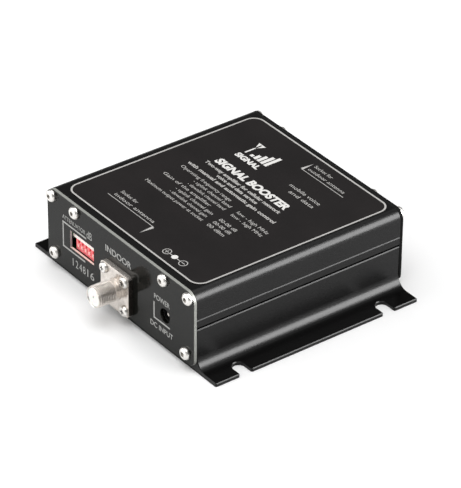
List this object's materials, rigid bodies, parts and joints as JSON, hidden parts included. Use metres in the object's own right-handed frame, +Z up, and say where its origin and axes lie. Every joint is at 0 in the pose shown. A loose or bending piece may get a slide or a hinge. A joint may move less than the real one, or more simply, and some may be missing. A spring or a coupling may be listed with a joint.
{
  "type": "cellular signal booster",
  "caption": "Black extruded-aluminium cellular signal booster with slotted mounting flanges, a threaded aerial socket on each end panel, an attenuator switch and a power socket.",
  "frame": {"origin": "underside of the mounting flanges, at the middle of the case", "axes": "+Z up, out of the labelled top face; X across the two mounting flanges; -Y out of the front panel with the switch, indoor socket and power socket"},
  "size_m": [0.1248, 0.1296, 0.0367],
  "materials": {
    "aluminium_can": "drawn aluminium can",
    "bare_aluminium": "bare milled aluminium",
    "black_anodised": "satin black anodised extrusion",
    "black_chip": "black moulded package",
    "black_plastic": "black moulded plastic",
    "brass_standoff": "turned brass",
    "bright_zinc": "bright zinc-plated steel",
    "ceramic_block": "fired ceramic",
    "circuit_board": "green solder mask on glass laminate",
    "gold_contact": "gold-plated contact",
    "label_film": "satin black printed film",
    "nickel_plate": "nickel-plated brass",
    "panel_black": "semi-gloss black coated plate",
    "red_switch": "red moulded plastic",
    "thermal_rubber": "soft grey-blue silicone pad",
    "tinned_metal": "tinned sheet metal",
    "white_insulator": "white moulded insulator",
    "white_slider": "white moulded plastic"
  },
  "bodies": {
    "case": {"attenuator_switch_body": "red_switch", "attenuator_switch_pins": "tinned_metal", "band_filters": "ceramic_block", "board_screws": "bright_zinc", "board_standoffs": "brass_standoff", "chip_passives": "ceramic_block", "controller_chip": "black_chip", "duplexer_filters": "ceramic_block", "front_panel": "panel_black", "front_panel_screws": "bright_zinc", "gain_amplifiers": "black_chip", "heat_block": "bare_aluminium", "indoor_socket_body": "nickel_plate", "indoor_socket_contact": "gold_contact", "indoor_socket_insulator": "white_insulator", "indoor_socket_nuts": "bright_zinc", "indoor_socket_screws": "bright_zinc", "lower_shell": "black_anodised", "main_board": "circuit_board", "outdoor_socket_body": "nickel_plate", "outdoor_socket_contact": "gold_contact", "outdoor_socket_insulator": "white_insulator", "outdoor_socket_nuts": "bright_zinc", "outdoor_socket_screws": "bright_zinc", "power_amplifiers": "black_chip", "power_inductor": "black_chip", "power_socket_housing": "black_plastic", "power_socket_pin": "nickel_plate", "power_socket_spring": "tinned_metal", "power_socket_tags": "tinned_metal", "rear_panel": "panel_black", "rear_panel_screws": "bright_zinc", "shield_frame": "tinned_metal", "shield_lid": "tinned_metal", "supply_capacitors": "aluminium_can", "supply_passives": "ceramic_block", "switch_board": "circuit_board", "switch_board_header": "tinned_metal", "switch_cover_strip": "white_slider", "thermal_pad": "thermal_rubber", "top_label": "label_film", "upper_shell": "black_anodised", "voltage_regulator": "black_chip"},
    "attenuator_slider_1": {"attenuator_slider_1": "white_slider"},
    "attenuator_slider_2": {"attenuator_slider_2": "white_slider"},
    "attenuator_slider_3": {"attenuator_slider_3": "white_slider"},
    "attenuator_slider_4": {"attenuator_slider_4": "white_slider"},
    "attenuator_slider_5": {"attenuator_slider_5": "white_slider"}
  },
  "joints": [
    {"name": "attenuator_slider_1_travel", "type": "slide", "parent": "case", "child": "attenuator_slider_1", "axis": [0, 0, 1], "range_m": [0, 0.0017]},
    {"name": "attenuator_slider_2_travel", "type": "slide", "parent": "case", "child": "attenuator_slider_2", "axis": [0, 0, 1], "range_m": [0, 0.0017]},
    {"name": "attenuator_slider_3_travel", "type": "slide", "parent": "case", "child": "attenuator_slider_3", "axis": [0, 0, 1], "range_m": [0, 0.0017]},
    {"name": "attenuator_slider_4_travel", "type": "slide", "parent": "case", "child": "attenuator_slider_4", "axis": [0, 0, 1], "range_m": [0, 0.0017]},
    {"name": "attenuator_slider_5_travel", "type": "slide", "parent": "case", "child": "attenuator_slider_5", "axis": [0, 0, 1], "range_m": [0, 0.0017]}
  ]
}
